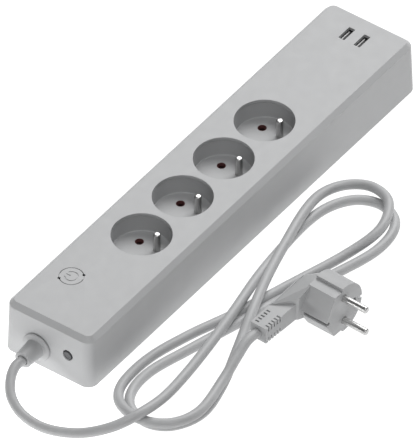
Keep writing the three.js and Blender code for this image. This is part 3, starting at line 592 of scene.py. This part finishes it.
# ---- Sockets ---------------------------------------------------------------------------
def socket_cup(name):
    low, top = RECESS_FLOOR - 3, HEIGHT - WALL - 0.3
    profile = soften([
        (0, low, 0), (RECESS + 1.8, low, 0.4), (RECESS + 1.8, top, 0), (RECESS, top, 0),
        (RECESS, RECESS_FLOOR, 0.8), (0, RECESS_FLOOR, 0)], 5)
    cup = lathe(name, profile, 96)
    post = rod("post", 2, 18.5, RECESS_FLOOR - 1.5, sides=40)
    carve(cup, post, operation="UNION")
    holes = [moved(flared("hole", 2.95, low - 1, RECESS_FLOOR, 0.3, 48), x, y, 0) for x, y in PINS]
    holes.append(moved(flared("hole", 2.5, low - 1, RECESS_FLOOR, 0.1, 48), *EARTH, 0))
    return carve(cup, *holes)


def pin_sleeve(name, place):
    """The dark red lining of a pin hole."""
    low, high = RECESS_FLOOR - 2.9, RECESS_FLOOR + 0.02
    profile = soften([(2.92, low, 0), (2.92, high, 0.1), (2.6, high, 0.12), (2.6, low, 0)], 4)
    return moved(lathe(name, profile, 48), *place, 0)


def earth_pin(name):
    top = RECESS_FLOOR + 14
    profile = soften([
        (0, 16.3, 0), (1.5, 16.3, 0.2), (1.5, 18.2, 0), (3.4, 18.2, 0.2), (3.4, 19.2, 0.2),
        (PIN_RADIUS, 19.2, 0), (PIN_RADIUS, top, 1.5), (0, top, 0)], 6)
    return moved(lathe(name, profile, 48), *EARTH, 0)


def shutter(name):
    blade = block(name, 26.2, 7.2, 20.5, 22.7, 3.55, 0.35, 10)
    carve(blade, rod("bore", 2.3, 10, 40, sides=40))
    return turned(blade, 45, "Z")


def spring(name):
    radius, low, rise, turns, steps = 2.55, 18.85, 1.1, 2, 96
    points = []
    for i in range(steps + 1):
        angle = 2 * math.pi * turns * i / steps
        points.append((radius * math.cos(angle), radius * math.sin(angle), low + rise * i / steps))
    return tube(name, points, 0.25, 10)


def add_sockets():
    for i, x in enumerate(SOCKETS, 1):
        dress(moved(socket_cup(f"socket_cup_{i}"), x, 0, LIFT), "insert", nodes=[f"socket_insert_{i}"])
        for k, place in enumerate(PINS, 1):
            sleeve = pin_sleeve(f"pin_sleeve_{i}_{k}", place)
            dress(moved(sleeve, x, 0, LIFT), "shutter", material="sleeve")
        dress(moved(earth_pin(f"earth_pin_turned_{i}"), x, 0, LIFT), "nickel", nodes=[f"earth_pin_{i}"])
        dress(moved(shutter(f"shutter_blade_{i}"), x, 0, LIFT), "shutter", f"shutter_{i}", [f"shutter_{i}"])
        dress(moved(spring(f"shutter_coil_{i}"), x, 0, LIFT), "steel", nodes=[f"shutter_spring_{i}"])


# ---- Power button ----------------------------------------------------------------------
def cap_radius(degrees):
    """The cap nearly fills its bore beside each light, which leaves the ring line as two arcs."""
    for light in LED_ANGLES:
        if 6 < (light - degrees) % 360 < 31:
            return 8.22
    return 7.85


def arc_slot(radius, width, start, end, low, high):
    """A cutter for a slot along part of a circle, from a start to an end in degrees."""
    loops = []
    steps = 48
    inner, outer = radius - width / 2, radius + width / 2
    for i in range(steps + 1):
        angle = math.radians(start + (end - start) * i / steps)
        across = Vector((math.cos(angle), math.sin(angle), 0))
        section = ((inner, low), (outer, low), (outer, high), (inner, high))
        loops.append([across * r + Vector((0, 0, z)) for r, z in section])
    return loft("arc", loops)


def power_button():
    section = soften([(0.6, 39, 0), (0, 39, 0.1), (0, HEIGHT, 0.25), (0.8, HEIGHT, 0)], 4)
    loops = []
    for inset, height in section[1:-1]:
        loop = []
        for step in range(240):
            degrees = 1.5 * step
            angle, radius = math.radians(degrees), cap_radius(degrees) - inset
            loop.append((radius * math.cos(angle), radius * math.sin(angle), height))
        loops.append(loop)
    cap = loft("power_cap", loops)
    carve(cap, rod("stem", 1.6, 12.9, 40, sides=32), operation="UNION")
    symbol = [arc_slot(4.3, 0.75, 90 + 32, 90 + 328, HEIGHT - 0.4, HEIGHT + 1)]
    symbol.append(moved(block("stem", 0.8, 3.4, HEIGHT - 0.4, HEIGHT + 1, 0.38), 0, 2.3, 0))
    notches = [moved(rod("notch", 1.05, 0, 90, sides=24), x - BUTTON[0], y - BUTTON[1], 0) for x, y in LEDS]
    carve(cap, *symbol, *notches)
    return moved(cap, *BUTTON, LIFT)


def add_button():
    dress(power_button(), "shell", "power_button", ["power_button"])
    for i, (x, y) in enumerate(LEDS, 1):
        profile = soften([(0, 36.6, 0), (0.75, 36.6, 0), (0.75, 40.85, 0.3), (0, 40.95, 0)], 4)
        lens = moved(lathe(f"light_lens_{i}", profile, 32), x, y, LIFT)
        dress(lens, "light_window", nodes=[f"status_light_{i}"])


# ---- USB ports -------------------------------------------------------------------------
def usb_shell(name):
    low, high = USB_LOW, HEIGHT - WALL - 0.3
    tube_body = block(name, 13.1, 5.4, low, high, 0.8, 0, 5)
    return carve(tube_body, block("inside", 12.3, 4.6, low - 1, high + 1, 0.4, 0, 5))


def usb_tongue(name):
    low, high = USB_LOW, HEIGHT - WALL - 1.2
    base = block(name, 11.7, 4.0, low, low + 1.6, 0.2, 0.1)
    tongue = moved(block("tongue", 11.1, 1.3, low + 0.8, high, 0.25, 0.15), 0, 0.55, 0)
    return carve(base, tongue, operation="UNION")


def add_usb():
    for i, side in enumerate((-1, 1), 1):
        y = side * USB_Y
        dress(moved(usb_shell(f"usb_sleeve_{i}"), USB_X, y, LIFT), "usb_metal", nodes=[f"usb_shell_{i}"])
        dress(moved(usb_tongue(f"usb_blade_{i}"), USB_X, y, LIFT), "dark_plastic", nodes=[f"usb_tongue_{i}"])
        edge = block(f"usb_edge_{i}", 11.1, 0.8, 26.7, HEIGHT - WALL - 0.9, 0.1, 0.1)
        dress(moved(edge, USB_X, y + 1.6, LIFT), "usb_plastic")
        for k, offset in enumerate((-3.5, -1.0, 1.0, 3.5), 1):
            strip = block(f"usb_contact_{i}_{k}", 1.0, 0.12, 30, HEIGHT - WALL - 1.9, 0.05, 0)
            dress(moved(strip, USB_X + offset, y - 0.18, LIFT), "brass")


# ---- Reset button and strain relief ----------------------------------------------------
def reset_button():
    length, radius = 8.2, 3.15
    profile = soften([
        (0, 0.25, 0), (1.9, 0.25, 0.2), (2.1, 0, 0.2), (radius, 0, 0.45), (radius, length, 0.2),
        (0, length, 0)], 5)
    piece = turned(lathe("reset_plunger", profile, 64), 90, "Y")
    return moved(piece, -LENGTH / 2, RESET[0], RESET[1] + LIFT)


def strain_relief():
    face = -LENGTH / 2 + DRAFT * RELIEF[1] / FOOT - 0.3
    inner = 2.8  # where the flange behind the wall begins
    profile = soften([
        (0, -14.4, 0), (3.75, -14.4, 0), (3.75, -15.7, 0.25), (6.0, -15.7, 0.5), (6.05, -13.6, 0.3),
        (6.9, -1.9, 0.5), (9.9, -1.2, 0.4), (10.4, -0.6, 0.4), (10.4, 0, 0.1), (5.6, 0, 0),
        (5.6, inner, 0), (7.6, inner, 0.2),
        (7.6, inner + 2, 0.2), (0, inner + 2, 0)], 5)
    piece = turned(lathe("cord_gland", profile, 80), 90, "Y")
    return moved(piece, face, RELIEF[0], RELIEF[1] + LIFT)


def add_end():
    dress(reset_button(), "button_grey", "reset_button", ["reset_button"])
    return dress(strain_relief(), "cord_sheath", nodes=["strain_relief"])


# ---- Plug ------------------------------------------------------------------------------
# The plug is drawn with the middle of its face at the origin, its pins along -Y and its arm along -X.
PLUG = Matrix.Translation(Vector((-37, -132.4, 18.5)) * MM) @ Matrix.Rotation(math.radians(-2.5), 4, "Z")
RADIUS, FACET, BARREL = 18.5, 16.2, 21.5
REACH, ARM_FRONT, ARM_FAR, HALF = 51.7, 23.2, 35.8, 6.3
CLIP_LENGTH, CLIP_WIDTH, CLIP_DEPTH, CLIP_DROP = 17, 1.8, 3.4, 1.5
GRIP_SLOTS, GRIP_PITCH, GRIP_LENGTH = 5, 2.85, 1.2


def along_y(name, outline, near, far):
    """Stands an outline drawn in X and Z along Y."""
    return loft(name, [[(x, y, z) for x, z in outline] for y in (far, near)])


def barrel_outline():
    """Round on the side away from the arm, with a step at top and bottom down to flats on the arm's side."""
    step_x = -1.5
    end = math.acos(step_x / RADIUS)
    steps = 64
    angles = [-end + 2 * end * i / steps for i in range(steps + 1)]
    flats = [(step_x, FACET), (-9.5, FACET), (-17.9, 0.4), (-18.1, -3.4), (-10.5, -FACET), (step_x, -FACET)]
    return [(RADIUS * math.cos(angle), RADIUS * math.sin(angle)) for angle in angles] + flats


def hull(name, points):
    work = bmesh.new()
    for point in points:
        work.verts.new(Vector(point) * MM)
    bmesh.ops.convex_hull(work, input=work.verts)
    piece = make_object(name, [], [])
    work.to_mesh(piece.data)
    work.free()
    return piece


def arm_parts():
    """The level arm, and the elbow: its top falls from the barrel's flat to the back."""
    behind = BARREL - 1.5
    near, far, inner = (-20, ARM_FRONT - 0.6), (-33, ARM_FAR), (-6, ARM_FAR - 3)
    ends = [(x, y, z) for x, y in (near, far, inner) for z in (HALF + 0.5, -HALF - 0.3)]
    tip = [(-REACH, y, z) for y in (ARM_FRONT, ARM_FAR) for z in (HALF - 0.1, 0.1 - HALF)]
    top = [
        (-19.6, behind + 1.3, 10.8), (-9.5, behind, FACET - 0.2), (6, behind, FACET - 1), (15, behind, 10),
        (14, ARM_FAR - 10, 8), (8, ARM_FAR - 4, HALF - 0.3), (1.3, ARM_FAR - 0.4, HALF + 2.2)]
    bottom = [
        (-20.5, behind + 1.5, -HALF - 0.5), (-9.5, behind, -10), (6, behind, 1 - FACET), (15, behind, -10),
        (14, ARM_FAR - 10, -8), (8, ARM_FAR - 4, 0.3 - HALF), (1.3, ARM_FAR - 0.4, -HALF - 0.7)]
    return [hull("arm", tip + ends), hull("elbow", ends[:4] + top + bottom)]


def span_box(name, x, y, z):
    """A block between pairs of limits."""
    return moved(block(name, x[1] - x[0], y[1] - y[0], z[0], z[1]), sum(x) / 2, sum(y) / 2, 0)


def rib():
    """A thin rib along the far edge of the elbow's top."""
    loops = []
    for x, top in ((-31, HALF + 0.7), (1, HALF + 2.4)):
        section = ((34.0, top - 2), (35.2, top - 2), (34.9, top + 0.9), (34.3, top + 0.9))
        loops.append([(x, y, z) for y, z in section])
    return loft("rib", loops)


def grip_cuts():
    """Slots over the near edges of the arm's tip, and into its top and bottom near the far edges."""
    cuts = []
    for i in range(1, GRIP_SLOTS + 1):
        x = -REACH + i * GRIP_PITCH
        along = (x - GRIP_LENGTH / 2, x + GRIP_LENGTH / 2)
        for side in (-1, 1):
            over_edge = sorted((side * (HALF - 3.8), side * (HALF + 1)))
            on_face = sorted((side * (HALF - 2), side * (HALF + 1)))
            cuts.append(span_box("slot", along, (ARM_FRONT - 1, ARM_FRONT + 2.6), over_edge))
            cuts.append(span_box("slot", along, (ARM_FAR - 4.6, ARM_FAR - 1.7), on_face))
    return cuts


def clip_grooves():
    half = CLIP_WIDTH / 2 + 0.3
    grooves = []
    for side in (-1, 1):
        groove = block("groove", 2 * CLIP_DEPTH, 2 * CLIP_LENGTH + 4, -half, half)
        grooves.append(moved(groove, side * RADIUS, 0, -CLIP_DROP))
    return grooves


def plug_body():
    barrel = along_y("plug_moulding", barrel_outline(), 0, BARREL)
    carve(barrel, *arm_parts(), operation="UNION")
    carve(barrel, rib(), operation="UNION")
    bevelled(barrel, 0.5)
    return carve(barrel, *grip_cuts(), *clip_grooves())


def plug_pin(name, z):
    profile = soften([(0, -3.7, 0), (PIN_RADIUS, -3.7, 0), (PIN_RADIUS, 19, 1.6), (0, 19, 0)], 6)
    return moved(turned(lathe(name, profile, 48), 90, "X"), 0, 0, z)


def earth_clip(name, side):
    clip = block(name, 0.8, CLIP_LENGTH, -CLIP_WIDTH / 2 - CLIP_DROP, CLIP_WIDTH / 2 - CLIP_DROP, 0.2, 0.15)
    return moved(clip, side * (RADIUS - CLIP_DEPTH + 0.7), CLIP_LENGTH / 2 + 1, 0)


def earth_socket(name):
    profile = soften([
        (0, -15, 0), (2.1, -15, 0), (2.1, -2, 0.1), (1.6, -2, 0.1), (1.6, -14, 0), (0, -14, 0)], 3)
    return moved(turned(lathe(name, profile, 40), 90, "X"), EARTH_OFFSET, 0, 0)


def add_plug():
    pin_heights = (PIN_SPACING / 2, -PIN_SPACING / 2)
    holes = [moved(turned(rod("hole", 2.4, -16, 1), 90, "X"), EARTH_OFFSET, 0, 0)]
    holes += [moved(turned(rod("hole", 2.6, -4, 1), 90, "X"), 0, 0, z) for z in reversed(pin_heights)]
    body = placed(carve(plug_body(), *holes), PLUG)
    pieces = [dress(body, "plug_plastic", nodes=["plug_body"])]
    for i, z in enumerate(pin_heights, 1):
        pin = placed(plug_pin(f"mains_pin_{i}", z), PLUG)
        pieces.append(dress(pin, "nickel", nodes=[f"plug_pin_{i}"]))
    for i, side in enumerate((-1, 1), 1):
        clip = placed(earth_clip(f"earth_spring_{i}", side), PLUG)
        pieces.append(dress(clip, "nickel", nodes=[f"plug_earth_clip_{i}"]))
    sleeve = placed(earth_socket("earth_sleeve"), PLUG)
    pieces.append(dress(sleeve, "dark_plastic", nodes=["plug_earth_socket"]))
    return pieces


# ---- Inner pieces kept from the CAD ----------------------------------------------------
KEPT = {
    "live_contact": "brass", "neutral_busbar": "brass", "earth_busbar": "brass", "relay": "relay_case",
    "transformer": "dark_plastic", "tact_switch": "dark_plastic", "breaker_body": "dark_plastic",
    "cord_clamp": "dark_plastic", "wifi_module": "circuit_board", "control_board": "circuit_board",
    "usb_board": "circuit_board", "capacitor": "capacitor_can",
}


def dress_kept_nodes():
    for name, node in NODES.items():
        for stem, slot_name in KEPT.items():
            if name == stem or name.rsplit("_", 1)[0] == stem:
                for slot in node.material_slots:
                    slot.material = MATERIALS[slot_name]


# ---- Floor and light -------------------------------------------------------------------
def glowing_floor_paper():
    """Paper that glows white, a painted light that lights the pieces from below, and glows brighter in a
    painted pool of light in front of the housing's end.
    """
    n = Nodes("glowing_floor_paper")
    base = n.mix(n.span(n.noise(3, 3), 0, 1), (0.15, 0.15, 0.15, 1), (0.165, 0.165, 0.165, 1))
    # Painted light: the glow rises to twice its strength in a soft round pool in front of the housing's end,
    # to light that end from below.
    spot = n.add("ShaderNodeMapping", {"Vector": n.place, "Location": (2.25, -0.1, 0), "Scale": (10, 10, 10)})
    glow = n.add("ShaderNodeTexGradient", {"Vector": spot.outputs["Vector"]}, gradient_type="SPHERICAL")
    strength = n.span(glow.outputs["Fac"], 1.0, 2.0, 0, 1)
    n.tree.links.new(strength, n.shader.inputs["Emission Strength"])
    return n.finish(base, n.span(n.noise(40, 2), 0.85, 0.95), Emission_Color=(1, 1, 1, 1))


def add_floor():
    far = 4000
    corners = [(-far, -far, 0), (far, -far, 0), (far, far, 0), (-far, far, 0)]
    floor = make_object("floor", corners, [(0, 1, 2, 3)])
    floor.data.materials.append(glowing_floor_paper())


def add_area(name, direction, distance, width, height, power):
    """A soft oval light that faces the object from a distance in metres."""
    data = bpy.data.lights.new(name, "AREA")
    data.shape = "ELLIPSE"
    data.size = width
    data.size_y = height
    data.energy = power
    light = bpy.data.objects.new(name, data)
    way = Vector(direction).normalized()
    light.location = way * distance
    light.rotation_euler = way.to_track_quat("Z", "Y").to_euler()
    bpy.context.collection.objects.link(light)


def add_light():
    world = bpy.data.worlds.new("studio")
    world.use_nodes = True
    sky = world.node_tree.nodes["Background"]
    sky.inputs["Color"].default_value = (1, 1, 1, 1)
    sky.inputs["Strength"].default_value = 0.04
    bpy.context.scene.world = world
    add_area("key_behind", (0.65, 0.12, 0.76), 3.5, 3.0, 3.0, 118)
    add_area("fill_front", (-0.45, -0.35, 0.82), 3.0, 2.0, 2.0, 30)
    add_area("low_front", (-0.92, 0.38, 0.06), 2.0, 0.8, 0.22, 5.5)
    bpy.context.scene.view_settings.view_transform = "Standard"


add_camera()
main_cord = add_cord()
add_housing()
add_sockets()
add_button()
add_usb()
gland = add_end()
plug_pieces = add_plug()
dress_kept_nodes()
add_floor()
add_light()
